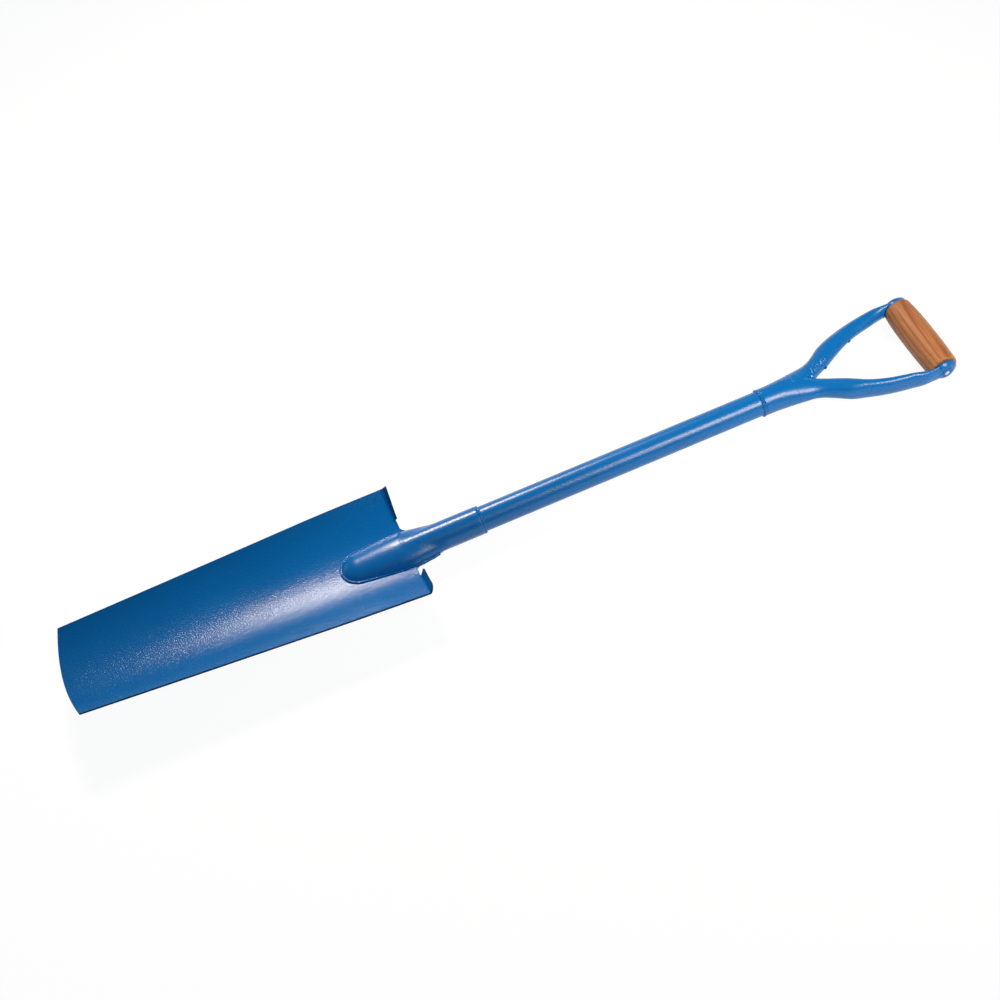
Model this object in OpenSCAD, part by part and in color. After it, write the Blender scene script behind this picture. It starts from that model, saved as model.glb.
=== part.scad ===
// Trenching spade: a long rolled steel blade on a tubular steel shaft, with a forked hilt
// and a turned wooden grip. It lies on its back with its hollow face up.
// X runs along the shaft from the cutting edge to the grip, Y across, Z up through the hollow face.

/* [Blade] */
// Length of the blade from its top edge to the corners of its cutting edge
blade_len = 378.5; // [320:0.5:420]
// Width of the blade across its shoulders
shoulder_w = 153.4; // [140:0.2:172]
// Width of the blade a third of the way down, where its taper steepens
flank_w = 147.8; // [134:0.2:152]
// Distance of that place from the top edge
flank_at = 80; // [60:1:110]
// Width of the blade across the corners of its cutting edge
tip_w = 113.6; // [98:0.2:128]
// How far the cutting edge bows out past its corners
tip_bow = 9.5; // [5:0.5:14]
// Radius to which the hollow face is rolled
gutter_r = 150; // [125:1:220]
// Thickness of the blade's sheet
blade_t = 2; // [1.6:0.1:2.6]
// Angle in degrees by which the blade lifts from the line of the shaft
blade_lift = 3.9; // [2:0.1:6]
// How far the hollow face lies behind the shaft's axis at the top edge
face_drop = 0.8; // [0.2:0.1:2]

/* [Treads] */
// Straight height of the turned treads, past their bend
tread_leg = 6.5; // [5:0.5:9]
// Angle in degrees through which the treads are turned towards the hollow face
tread_turn = 65; // [50:1:80]
// Inside radius of the treads' bend
tread_bend_r = 3; // [2:0.5:5]
// How far below the top edge the bend starts
tread_set = 1.5; // [1:0.5:4]
// Distance from the middle of the blade to the inner end of each tread
tread_in = 40.5; // [38:0.5:48]
// Radius of the outer corner of each tread
tread_corner_r = 4.5; // [3:0.5:7]
// Width of the relief notch beside each tread
notch_w = 2; // [1.5:0.5:4]
// Depth of the relief notch below the start of the bend
notch_depth = 1; // [0.5:0.5:6]

/* [Socket] */
// Wall of the socket tube
socket_t = 1.75; // [1.2:0.05:2.5]
// Distance from the socket's rim to the blade's top edge
neck_len = 84; // [74:1:110]
// Width of the neck web where it leaves the top edge
web_w = 60; // [54:1:66]
// Length of the neck web above the top edge
web_len = 32; // [24:1:34]
// Length of the thumb on the hollow face, from the top edge to its nose
thumb_len = 78; // [56:1:110]
// Width of the thumb at the top edge
thumb_root_w = 48; // [42:0.5:52]
// Width of the thumb where its nose begins
thumb_nose_w = 40; // [34:0.5:44]
// How far the thumb's crown lies below the crown of the socket tube
thumb_sink = 0.3; // [0.2:0.1:1.5]
// Length of the heel on the back of the blade, from the top edge to its nose
heel_len = 36; // [26:1:60]
// Width of the weld bead along the thumb and the heel
bead_w = 3.3; // [2.5:0.1:4]
// Height of that bead
bead_h = 5.5; // [4:0.1:6]
// Clearance of both welds from the faces of the sheet
weld_fit = 0.05; // [0.03:0.01:0.1]

/* [Shaft] */
// Outside diameter of the shaft tube
shaft_d = 28.6; // [25:0.1:32]
// Wall of the shaft tube
shaft_t = 1.6; // [1.2:0.1:3]
// Length of the shaft that shows between the socket and the hilt
shaft_show = 340; // [240:1:700]
// Depth of the shaft in the socket
shaft_in_socket = 46; // [30:1:48]
// Depth of the shaft in the hilt
shaft_in_hilt = 32; // [22:1:34]
// Radial clearance of the shaft in the socket and in the hilt
shaft_fit = 0.05; // [0.02:0.01:0.1]
// Length of the weld at the socket's rim
rim_bead = 2.4; // [1.5:0.1:3.5]
// Height by which the weld at the hilt's rim stands proud of the stem
hilt_bead_proud = 0.3; // [0.1:0.1:0.6]

/* [Hilt] */
// Wall of the hilt's stem at its rim
stem_t = 1.2; // [1:0.05:2]
// Length of the stem from its rim to the arms
stem_len = 65; // [56:1:80]
// Width of the stem where the arms begin
fork_w = 45; // [42:0.5:47]
// Thickness of the stem where the arms begin
fork_t = 22; // [20:0.5:26]
// Thickness of each arm where it leaves the stem
arm_root_t = 19; // [17:0.5:20]
// Distance from the start of the arms to the axis of the grip
arm_reach = 132.5; // [124:0.5:146]
// Distance from the start of the arms to their elbows
elbow_at = 58; // [50:1:66]
// Width across the middles of the elbows
elbow_w = 91; // [82:1:100]
// Greater width of each arm's section, past its elbow
arm_w = 17.5; // [16:0.5:20]
// Smaller width of that section
arm_t = 16; // [13:0.5:17]
// Angle in degrees by which that section leans, its outer side down
arm_lean = 20; // [0:1:35]
// Wall of the arms
arm_wall = 1.8; // [1.2:0.1:2.2]
// Outside diameter of the eyes at the ends of the arms
eye_d = 32; // [30:0.2:35]
// Thickness of the eyes at their rim
eye_rim_t = 2.6; // [2:0.1:4]
// Height of the dome on the outside of each eye
eye_dome = 5; // [4:0.1:7]
// Radius of the weld in the crotch of the arms
crotch_r = 9.5; // [8.5:0.5:10.5]
// Radius of the two tack welds inside the left arm
tack_r = 2; // [1.5:0.1:2.5]

/* [Grip] */
// Length of the wooden grip
grip_len = 102.4; // [96:0.2:110]
// Diameter of the grip at its ends
grip_end_d = 32.4; // [30:0.2:33]
// Diameter of the grip at its middle
grip_mid_d = 36; // [34:0.2:38]
// How far the grip's axis lies behind the shaft's axis
grip_drop = 1.5; // [0:0.1:4]
// Chamfer of the grip's end edges
grip_chamfer = 1.2; // [0.5:0.1:2]
// Gap between each end of the grip and its eye
grip_gap = 0.3; // [0.2:0.05:0.5]
// Diameter of the rivet that the grip turns on
rivet_d = 8; // [6:0.5:10]
// Radial clearance of the grip on the rivet
rivet_fit = 0.1; // [0.05:0.01:0.2]
// Diameter of the rivet's heads
rivet_head_d = 11; // [10.5:0.5:13]
// Height of the rivet's heads
rivet_head_h = 2.2; // [1.8:0.1:3]
// Depth of the recess under the rivet's head, below the top of the eye's dome
eye_recess = 1.6; // [1.2:0.1:2.4]
// Width of that recess around the rivet's head
recess_room = 1; // [0.5:0.1:2]

/* [Hidden] */
$fn = 96;
gutter_fn = 8 * $fn;
hood_fn = 2 * $fn;

// Overrun of every cut
over = 2;

// The shaft step at the socket's rim is the zero of X in all that follows
shaft_r = shaft_d / 2;
bore_r = shaft_r + shaft_fit;
socket_r = bore_r + socket_t;
stem_r = bore_r + stem_t;
stem_x = shaft_show;
fork_x = stem_x + stem_len;
grip_x = fork_x + arm_reach;

// Blade, in its own frame: zero at the middle of its top edge, on the hollow face
blade_back_r = gutter_r + blade_t;
tip_half = tip_w / 2;
tip_arc_r = (tip_half * tip_half + tip_bow * tip_bow) / (2 * tip_bow);
flank_slope = (shoulder_w - flank_w) / 2 / flank_at;
tip_slope = (flank_w - tip_w) / 2 / (blade_len - flank_at);
tread_bend_out_r = tread_bend_r + blade_t;
tread_rise = tread_bend_r * (1 - cos(tread_turn)) + tread_leg * sin(tread_turn);
tread_reach = tread_bend_out_r + tread_leg;
tread_top_r = gutter_r - tread_rise;
tread_slack_share = 0.1;
gutter_span_share = 1.5;
gutter_span = gutter_span_share * asin(shoulder_w / tread_top_r / 2);
gutter_core_share = 0.5;
gutter_core_r = gutter_r * gutter_core_share;
blade_high = gutter_r;
web_end_share = 0.96;
web_end = socket_r * web_end_share;
web_pull_shares = [0.12, 0.46];
curve_steps = 8;

// Thumb and heel, revolved about the shaft's axis and then flattened
thumb_root_r = thumb_root_w / 2;
thumb_nose_r = thumb_nose_w / 2;
thumb_flat_share = (socket_r - thumb_sink) / thumb_root_r;
flare_share = 0.55;
flare_end_x = web_len * flare_share - neck_len;
flare_end_r = socket_r - thumb_sink;
bead_flat_share = bead_h / (thumb_root_r + bead_w);
bead_back_share = 0.4;

// Hilt arms: their centre line runs straight from the fork, round the elbow and straight to the eye
sides = 32;
arm_steps = 20;
stem_swell_shares = [0.2, 1.1];
stem_thin_shares = [0.45, 1.25];
stem_open_share = shaft_in_hilt / stem_len;
stem_close_share = 1 - arm_wall / stem_len;
eye_r = eye_d / 2;
eye_t = eye_rim_t + eye_dome;
eye_in = grip_len / 2 + grip_gap;
fork_mid = [fork_x, fork_w / 4, 0];
elbow_drop_share = 0.6;
eye_inlet_share = 0.5;
elbow_mid = [fork_x + elbow_at, elbow_w / 2, -grip_drop * elbow_drop_share];
eye_mid = [grip_x - eye_r * eye_inlet_share, eye_in + eye_rim_t, -grip_drop];
elbow_share = 0.54;
elbow_step_shares = [0.3, 0.7];
arm_turn_share = 0.15;
arm_lean_share = 0.35;
arm_narrow_shares = [0.3, 0.75];
arm_thin_share = 0.6;
eye_blend_shares = [0.7, 0.97];
eye_root_shares = [0.9, 0.64];
arm_hollow_share = 0.7;
tack_shares = [0.15, 0.5];

// Grip and rivet
rivet_r = rivet_d / 2;
rivet_head_r = rivet_head_d / 2;
rivet_seat = eye_in + eye_t - eye_recess;
grip_bulge = (grip_mid_d - grip_end_d) / 2;
grip_arc_r = (grip_len * grip_len / 4 + grip_bulge * grip_bulge) / (2 * grip_bulge);

// The part stands at the middle of its box, on its lowest point
low_x = -neck_len - (blade_len + tip_bow) * cos(blade_lift) - blade_t * sin(blade_lift);
high_x = grip_x + max(eye_r, grip_mid_d / 2);
low_z = -max(socket_r, grip_drop + max(eye_r, grip_mid_d / 2));
rest = [-(low_x + high_x) / 2, 0, -low_z];

// Shared curves

function quadratic(a, b, c, t) = a * (1 - t) * (1 - t) + b * 2 * t * (1 - t) + c * t * t;

// Rises smoothly from 0 at a to 1 at b
function ease(a, b, t) = let (u = min(1, max(0, (t - a) / (b - a)))) u * u * (3 - 2 * u);

function mix(a, b, t) = a + (b - a) * t;

// An ellipse of half widths a and b about c, along the directions across and up, turned by lean
function ring(c, across, up, a, b, lean) = [
    for (i = [0 : sides - 1])
        let (u = a * cos(360 * i / sides), v = b * sin(360 * i / sides))
            c + across * (u * cos(lean) + v * sin(lean)) + up * (v * cos(lean) - u * sin(lean))
];

// A closed skin over a row of rings, with both ends capped
module skin(rings) {
    last = len(rings) - 1;
    points = [for (r = rings) for (p = r) p];
    walls = [
        for (k = [0 : last - 1])
            for (i = [0 : sides - 1])
                let (j = (i + 1) % sides, p = k * sides, q = p + sides)
                    for (face = [[p + i, q + i, q + j], [p + i, q + j, p + j]]) face
    ];
    start_cap = [[for (i = [0 : sides - 1]) i]];
    end_cap = [[for (i = [sides - 1 : -1 : 0]) last * sides + i]];
    polyhedron(points, concat(start_cap, walls, end_cap));
}

// Places

module lay() translate(rest) children();

module at_blade() translate([-neck_len, 0, -face_drop]) rotate([0, blade_lift, 0]) children();

module along_shaft(x) translate([x, 0, 0]) rotate([0, 90, 0]) children();

module across_grip() translate([grip_x, 0, -grip_drop]) rotate([-90, 0, 0]) children();

module both_sides() {
    children();
    mirror([0, 1, 0]) children();
}

// Blade

// A profile of radius and length, swept about the axis of the gutter
module gutter_sweep() {
    translate([0, 0, gutter_r]) rotate([0, 90, 0]) rotate([0, 0, -gutter_span])
        rotate_extrude(angle = 2 * gutter_span, $fn = gutter_fn) children();
}

// The round bar that the hollow face, or the back, would lie against, down to its core
module gutter_bar(r) {
    gutter_sweep() translate([gutter_core_r, -blade_len]) square([r - gutter_core_r, blade_len + neck_len]);
}

function flank_half(x) = shoulder_w / 2 + x * flank_slope;

// A half outline, closed by its own mirror image
function mirrored(half) = concat(half, [for (k = [len(half) - 1 : -1 : 0]) [half[k].x, -half[k].y]]);

module sheet_outline() {
    web = [
        for (k = [0 : curve_steps])
            quadratic(
                [0, web_w / 2],
                [web_len * web_pull_shares[0], mix(web_end, web_w / 2, web_pull_shares[1])],
                [web_len, web_end],
                k / curve_steps
            )
    ];
    polygon(mirrored(concat(
        [
            [-blade_len - tip_bow - over, tip_half - tip_slope * (tip_bow + over)],
            [-flank_at, flank_w / 2],
            [-tread_set, flank_half(-tread_set)],
            [-tread_set, tread_in],
            [-tread_set - notch_depth, tread_in],
            [-tread_set - notch_depth, tread_in - notch_w],
            [0, tread_in - notch_w]
        ],
        web
    )));
}

// What is cut off past the bowed cutting edge
module tip_waste() {
    translate([-blade_len - tip_bow - 2 * over, -tip_w, -blade_t - 2 * over]) difference() {
        cube([tip_bow + 4 * over, 2 * tip_w, blade_high + 2 * over]);
        translate([tip_arc_r + 2 * over, tip_w, -over]) cylinder(r = tip_arc_r, h = blade_high + 4 * over);
    }
}

// All that lies inside one face of a tread: a round at its bend, and a straight run past it
module tread_side(r, leg) {
    circle(r = r);
    rotate(tread_turn) square([r, leg]);
}

// Profile of a tread, about the middle of its bend
module tread_profile() {
    far = 2 * tread_reach;
    intersection() {
        difference() {
            tread_side(tread_bend_out_r, tread_leg);
            tread_side(tread_bend_r, tread_leg + over);
        }
        polygon([[0, 0], [far, 0], [far, far], [-far, far], far * [-sin(tread_turn), cos(tread_turn)]]);
    }
}

module tread_outline() {
    polygon([
        [-tread_set, tread_in],
        [-tread_set, flank_half(-tread_set)],
        [tread_reach, flank_half(tread_reach)],
        [tread_reach, tread_in]
    ]);
}

// What is cut off the outer corner of a tread to round it
module tread_corner() {
    slack = tread_corner_r * tread_slack_share;
    corner_y = flank_half(tread_reach) - tread_corner_r + slack;
    corner_z = gutter_r - sqrt(tread_top_r * tread_top_r - corner_y * corner_y) - tread_corner_r + slack;
    translate([-tread_set, corner_y, corner_z]) difference() {
        cube([tread_reach + tread_set + over, tread_corner_r + tread_leg, tread_reach + tread_corner_r]);
        translate([-over, 0, 0]) rotate([0, 90, 0])
            cylinder(r = tread_corner_r, h = tread_reach + tread_set + 3 * over);
    }
}

module blade_sheet() {
    difference() {
        intersection() {
            gutter_sweep() translate([gutter_r, -blade_len - tip_bow - over])
                square([blade_t, blade_len + tip_bow + web_len + 2 * over]);
            translate([0, 0, -blade_t - over]) linear_extrude(blade_high) sheet_outline();
        }
        tip_waste();
    }
}

// The tread's profile, carried round the gutter over its width
module tread() {
    difference() {
        intersection() {
            gutter_sweep() translate([gutter_r - tread_bend_r, -tread_set]) tread_profile();
            translate([0, 0, -blade_t - over]) linear_extrude(blade_high) tread_outline();
        }
        tread_corner();
    }
}

module blade() {
    color("royalblue") lay() at_blade() union() {
        blade_sheet();
        both_sides() tread();
    }
}

// Socket

// A round nose and a flared neck, revolved about X, narrower by inset all round
module hood(reach, inset, flat_share) {
    nose_r = thumb_nose_r - inset;
    nose_x = thumb_nose_r - neck_len - reach;
    scale([1, 1, flat_share]) rotate([0, 90, 0]) rotate_extrude($fn = hood_fn) union() {
        polygon([
            [0, nose_x],
            [nose_r, nose_x],
            [thumb_root_r - inset, -neck_len],
            [flare_end_r - inset, flare_end_x],
            [0, flare_end_x]
        ]);
        translate([0, nose_x]) intersection() {
            circle(r = nose_r);
            translate([0, -nose_r - over]) square([nose_r + over, nose_r + over]);
        }
    }
}

module thumb_body(inset) {
    intersection() {
        hood(thumb_len, inset, thumb_flat_share);
        at_blade() gutter_bar(gutter_r);
    }
}

module heel_body(inset) {
    difference() {
        hood(heel_len, inset, thumb_flat_share);
        at_blade() gutter_bar(blade_back_r);
    }
}

module socket_tube() along_shaft(-neck_len) cylinder(r = socket_r, h = neck_len);

module socket() {
    color("royalblue") lay() difference() {
        union() {
            socket_tube();
            thumb_body(0);
            heel_body(0);
        }
        along_shaft(-neck_len) cylinder(r = bore_r, h = neck_len + over);
        thumb_body(socket_t);
        heel_body(socket_t);
        at_blade() intersection() {
            difference() {
                gutter_bar(blade_back_r);
                gutter_bar(gutter_r);
            }
            translate([-blade_len, -thumb_root_w, -blade_high / 2])
                cube([blade_len + web_len, 2 * thumb_root_w, blade_high]);
        }
    }
}

// A low mound over the foot of the thumb or the heel, kept to the outline of the sheet
module bead_mound(reach) {
    intersection() {
        translate([neck_len, 0, 0]) hood(reach, -bead_w, bead_flat_share);
        translate([0, 0, -bead_h]) linear_extrude(2 * bead_h) sheet_outline();
    }
}

module thumb_weld() {
    color("royalblue") lay() difference() {
        at_blade() intersection() {
            bead_mound(thumb_len - bead_w * bead_back_share);
            gutter_bar(gutter_r - weld_fit);
        }
        hood(thumb_len, 0, thumb_flat_share);
        socket_tube();
    }
}

module heel_weld() {
    color("royalblue") lay() difference() {
        at_blade() difference() {
            bead_mound(heel_len);
            gutter_bar(blade_back_r + weld_fit);
        }
        hood(heel_len, 0, thumb_flat_share);
        socket_tube();
    }
}

// Shaft

module shaft() {
    len = shaft_in_socket + shaft_show + shaft_in_hilt;
    color("royalblue") lay() along_shaft(-shaft_in_socket) difference() {
        cylinder(r = shaft_r, h = len);
        translate([0, 0, -over]) cylinder(r = shaft_r - shaft_t, h = len + 2 * over);
    }
}

module socket_rim_weld() {
    color("royalblue") lay() along_shaft(0) rotate_extrude()
        polygon([[shaft_r, 0], [socket_r, 0], [socket_r, rim_bead / 4], [shaft_r, rim_bead]]);
}

module hilt_rim_weld() {
    proud_r = stem_r + hilt_bead_proud;
    color("royalblue") lay() along_shaft(stem_x - rim_bead) rotate_extrude()
        polygon([[shaft_r, 0], [proud_r, rim_bead / 2], [proud_r, rim_bead], [shaft_r, rim_bead]]);
}

// Hilt

// How far the stem has gone over from its round rim, between two shares of its length
function stem_gone(shares, t) = ease(shares[0], shares[1], t) / ease(shares[0], shares[1], 1);

// The stem goes from a round at its rim to a flat oval at the fork, narrower by inset all round
module stem_body(start, end, inset) {
    skin([
        for (k = [0 : curve_steps])
            let (t = mix(start, end, k / curve_steps))
                ring(
                    [mix(stem_x, fork_x, t), 0, 0], [0, 1, 0], [0, 0, 1],
                    mix(stem_r, fork_w / 2, stem_gone(stem_swell_shares, t)) - inset,
                    mix(stem_r, fork_t / 2, stem_gone(stem_thin_shares, t)) - inset,
                    0
                )
    ]);
}

module hilt_stem() {
    color("royalblue") lay() difference() {
        stem_body(0, 1, 0);
        along_shaft(stem_x - over) cylinder(r = bore_r, h = shaft_in_hilt + over);
        stem_body(stem_open_share, stem_close_share, arm_wall);
    }
}

function arm_point(t) =
    let (
        lead = mix(elbow_mid, fork_mid, elbow_share),
        tail = mix(elbow_mid, eye_mid, elbow_share),
        a = elbow_step_shares[0],
        b = elbow_step_shares[1]
    )
        t < a ? mix(fork_mid, lead, t / a)
        : t < b ? quadratic(lead, elbow_mid, tail, (t - a) / (b - a))
        : mix(tail, eye_mid, (t - b) / (1 - b));

// Direction across the arm, outwards, square to the stem's end at first
function arm_across(t) =
    let (
        step = 1 / arm_steps / 2,
        way = arm_point(min(1, t + step)) - arm_point(max(0, t - step)),
        turn = atan2(way[1], way[0]) * ease(0, arm_turn_share, t)
    ) [-sin(turn), cos(turn), 0];

// How far the arm has gone over into the flat root of the eye
function eye_blend(t) = ease(eye_blend_shares[0], eye_blend_shares[1], t);

function arm_half_width(t) =
    mix(
        mix(fork_w / 4, arm_w / 2, ease(arm_narrow_shares[0], arm_narrow_shares[1], t)),
        eye_rim_t * eye_root_shares[0],
        eye_blend(t)
    );

function arm_half_height(t) =
    mix(mix(arm_root_t / 2, arm_t / 2, ease(0, arm_thin_share, t)), eye_r * eye_root_shares[1], eye_blend(t));

function arm_leaning(t) = arm_lean * ease(0, arm_lean_share, t) * (1 - eye_blend(t));

function arm_ring(t, inset) =
    ring(
        arm_point(t), arm_across(t), [0, 0, 1],
        arm_half_width(t) - inset, arm_half_height(t) - inset, arm_leaning(t)
    );

function arm_shell() = [for (k = [0 : arm_steps]) arm_ring(k / arm_steps, 0)];

function arm_hollow() = [
    for (k = [arm_steps / 2 : -1 : 0]) arm_ring(arm_hollow_share * k / arm_steps * 2, arm_wall)
];

module eye() {
    dome_r = (eye_r * eye_r + eye_dome * eye_dome) / (2 * eye_dome);
    translate([0, 0, eye_in]) difference() {
        rotate_extrude() intersection() {
            square([eye_r, eye_t]);
            translate([0, eye_t - dome_r]) circle(r = dome_r);
        }
        translate([0, 0, eye_t - eye_recess]) cylinder(r = rivet_head_r + recess_room, h = eye_recess + over);
    }
}

// What the grip needs clear between the eyes
module grip_room() cylinder(r = grip_mid_d / 2 + grip_gap, h = eye_in);

module arm() {
    difference() {
        union() {
            difference() {
                skin(concat(arm_hollow(), arm_shell()));
                across_grip() grip_room();
            }
            across_grip() eye();
        }
        across_grip() cylinder(r = rivet_r, h = eye_in + eye_t + over);
    }
}

module left_arm() {
    color("royalblue") lay() arm();
}

module right_arm() {
    color("royalblue") lay() mirror([0, 1, 0]) arm();
}

module crotch_weld() {
    color("royalblue") lay() difference() {
        translate([fork_x - crotch_r / 2, 0, 0]) rotate([0, 90, 0]) sphere(r = crotch_r);
        translate([fork_x - 2 * crotch_r, -crotch_r - over, -crotch_r - over])
            cube([2 * crotch_r, 2 * (crotch_r + over), 2 * (crotch_r + over)]);
        both_sides() skin(arm_shell());
    }
}

module arm_tacks() {
    color("royalblue") lay() difference() {
        for (t = tack_shares) translate(arm_point(t) - arm_across(t) * arm_half_width(t)) rotate([90, 0, 0])
            sphere(r = tack_r);
        skin(arm_shell());
    }
}

// Grip

module grip() {
    color("peru") lay() across_grip() difference() {
        rotate_extrude() difference() {
            intersection() {
                translate([0, -grip_len / 2]) square([grip_mid_d, grip_len]);
                translate([grip_mid_d / 2 - grip_arc_r, 0]) circle(r = grip_arc_r, $fn = 4 * $fn);
            }
            for (end = [-1, 1]) translate([grip_end_d / 2, end * grip_len / 2])
                polygon([[0, -grip_chamfer], [grip_chamfer, 0], [0, grip_chamfer], [-grip_chamfer, 0]]);
        }
        translate([0, 0, -grip_len / 2 - over]) cylinder(r = rivet_r + rivet_fit, h = grip_len + 2 * over);
    }
}

module rivet_head() {
    dome_r = (rivet_head_r * rivet_head_r + rivet_head_h * rivet_head_h) / (2 * rivet_head_h);
    translate([0, 0, rivet_seat]) rotate_extrude() intersection() {
        translate([0, rivet_head_h - dome_r]) circle(r = dome_r);
        square([rivet_head_r, rivet_head_h]);
    }
}

module grip_rivet() {
    color("silver") lay() across_grip() union() {
        translate([0, 0, -rivet_seat]) cylinder(r = rivet_r, h = 2 * rivet_seat);
        rivet_head();
        mirror([0, 0, 1]) rivet_head();
    }
}

blade();
socket();
thumb_weld();
heel_weld();
shaft();
socket_rim_weld();
hilt_stem();
hilt_rim_weld();
left_arm();
right_arm();
crotch_weld();
arm_tacks();
grip();
grip_rivet();
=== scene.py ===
"""Looks of a trenching spade: blue hammer paint on welded steel, and a varnished wooden grip."""

import math

import bmesh
import bpy
import numpy as np
from mathutils import Matrix, Vector


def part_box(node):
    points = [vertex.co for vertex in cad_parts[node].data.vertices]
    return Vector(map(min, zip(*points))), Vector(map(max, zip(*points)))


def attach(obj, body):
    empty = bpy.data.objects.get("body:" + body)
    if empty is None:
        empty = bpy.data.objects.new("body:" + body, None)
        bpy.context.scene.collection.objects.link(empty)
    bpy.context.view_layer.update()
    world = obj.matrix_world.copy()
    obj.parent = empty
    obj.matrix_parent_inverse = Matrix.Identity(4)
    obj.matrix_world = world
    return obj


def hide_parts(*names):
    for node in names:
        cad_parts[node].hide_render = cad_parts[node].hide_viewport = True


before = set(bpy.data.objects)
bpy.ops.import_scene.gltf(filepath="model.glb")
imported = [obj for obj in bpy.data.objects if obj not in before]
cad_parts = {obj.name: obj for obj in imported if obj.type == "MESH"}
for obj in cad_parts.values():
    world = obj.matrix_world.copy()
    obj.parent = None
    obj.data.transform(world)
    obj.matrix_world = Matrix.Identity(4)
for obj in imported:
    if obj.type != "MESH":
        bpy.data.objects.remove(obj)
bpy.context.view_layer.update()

# Lengths are in metres. Those of the assembly are the solids' own. Those of the finish, such as eased
# edges, welds and the small differences between left (1) and right (-1), are the scene's.
MM = 0.001
TAU = 2 * math.pi
JOIN_DIST = 0.002 * MM

# Blade
BLADE_LEN = 378.5 * MM
SHOULDER_W = 153.4 * MM
FLANK_W = 147.8 * MM
FLANK_AT = 80 * MM
FLANK_EASE = 30 * MM
TIP_W = 113.6 * MM
TIP_BOW = 9.5 * MM
GUTTER_R = 150 * MM
SHEET_T = 2 * MM
SHEET_R = GUTTER_R + SHEET_T / 2
BLADE_LIFT = math.radians(3.9)
FACE_DROP = 0.8 * MM
EDGE_EASE = 0.6 * MM
EDGE_ANGLE = math.radians(50)

# Treads: how far before the shoulder the fold starts, its radius, the strip's length, the radius of its
# outer corner, the notch's width, how much shorter the inner end is, and the fold's turns at both ends
TREAD_IN = 40.5 * MM
NOTCH_REACH = 0.8 * MM
TREADS = {
    1: {"set": 5.6 * MM, "bend": 5.8 * MM, "run": 13.5 * MM, "corner": 1.2 * MM, "notch": 0.1 * MM,
        "run_out": 4.5 * MM, "turns": (math.radians(94), math.radians(78))},
    -1: {"set": 1.5 * MM, "bend": 4 * MM, "run": 11 * MM, "corner": 6 * MM, "notch": 2 * MM,
         "run_out": 0, "turns": (math.radians(65), math.radians(65))},
}

# Neck, socket and the welds on the sheet
NECK_LEN = 84 * MM
WEB_W = 60 * MM
WEB_LEN = 32 * MM
WEB_FOOT = 0.6 * MM
WEB_PULL = (0.12, 0.46)
WEB_IN_SOCKET = 0.96
SOCKET_R = 16.1 * MM
SOCKET_EASE = 1.2 * MM
SOCKET_EASE_RUN = 2.4 * MM
SOCKET_DEPTH = 12 * MM
RIM_LEN = 3 * MM
NOSE_LEN = 26 * MM
THUMB_LEN = 78 * MM
THUMB_ROOT_W = 48 * MM
THUMB_NOSE_W = 40 * MM
THUMB_SINK = 0.3 * MM
THUMB_FLAT = (SOCKET_R - THUMB_SINK) / (THUMB_ROOT_W / 2)
THUMB_FLARE = (-12 * MM, 58 * MM)
THUMB_BLEND = 1.2 * MM
TUBE_FADE = 0.6
TUBE_FADE_LEN = 40 * MM
HEEL_LEN = 36 * MM
BEAD_R = 1.8 * MM
BEAD_PITCH = 2.4 * MM
BEAD_SWELL = 0.1
BEAD_RAISE = 0.3
BEAD_HIGH = 0.7
BEAD_START = 30 * MM
BEAD_DRIFT = 9 * MM
BEAD_LUMPS = 4 * MM
BEAD_POINT = 40
BEAD_IN_SOCKET = 0.97

# Shaft and its ring welds: place along the shaft, radius of the bead's path and size of the bead
SHAFT_R = 14.3 * MM
SHAFT_SHOW = 340 * MM
SHAFT_IN_SOCKET = 40 * MM
SHAFT_IN_STEM = 28 * MM
RING_STEPS = 34
RING_SWAY = 0.25 * MM
RING_WIDE = 1.15
RING_SWELL = 0.07
RING_UNEVEN = 0.05
SOCKET_RING = (0.9 * MM, SHAFT_R + 0.3 * MM, 1.5 * MM)
HILT_RING = (SHAFT_SHOW - 1.5 * MM, SHAFT_R + 0.2 * MM, 1.6 * MM)

# Stem of the hilt
STEM_R = 15.55 * MM
STEM_LEN = 65 * MM
STEM_EASE = 1.2 * MM
STEM_SHORT = 4 * MM
STEM_WIDEN = (0.08, 1.25)
STEM_FLATTEN = (0.3, 1.3)
FORK_W = 45 * MM
FORK_T = 22 * MM

# Arms. Shares run from 0 at the arm's start inside the stem to 1 at the eye. Of the ranges of shares,
# a size changes over a single one, and rises over the first of two and falls back over the second.
ARM_START = 26 * MM
ARM_REACH = 132.5 * MM
ARM_ROOT_T = 19 * MM
ARM_W = 17.5 * MM
ARM_T = 16 * MM
ARM_END_T = 20 * MM
ARM_LEAN = math.radians(20)
ARM_PROUD = 0.06 * MM
ARM_CHANGES = {1: (0, 0), -1: (-2.8 * MM, 3.6 * MM)}
ELBOW_AT = 58 * MM
ELBOW_W = 91 * MM
ELBOW_DROP = 0.6
BEND_FROM = 0.3
BEND_TO = 0.7
BEND_POLES = 0.54
ARM_TURNS = (0.2, 0.42)
ARM_NARROWS = (BEND_FROM, 0.75)
ARM_FLATTENS = (BEND_FROM, 0.6)
ARM_THICKENS = (0.75, 1)
ARM_WIDER_AT = ((BEND_FROM, 0.45), (BEND_TO, 0.9))
ARM_TALLER_AT = ((0.1, 0.4), (BEND_TO, 0.95))
ARM_LEANS_AT = ((BEND_FROM, 0.5), (0.72, 0.92))
ARM_JOINS_IN = (0.62, 1)
ARM_JOINS_OUT = (BEND_TO, 1)
ARM_JOIN_H = 0.7
ARM_APART = 0.02 * MM
ARM_CORE_APART = 0.05 * MM
EYE_LAP = 0.05 * MM
ROOT_DIPS = {1: 1.6 * MM, -1: 0.2 * MM}
ROOT_TUCKS = {1: 2.2 * MM, -1: 0.8 * MM}
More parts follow.
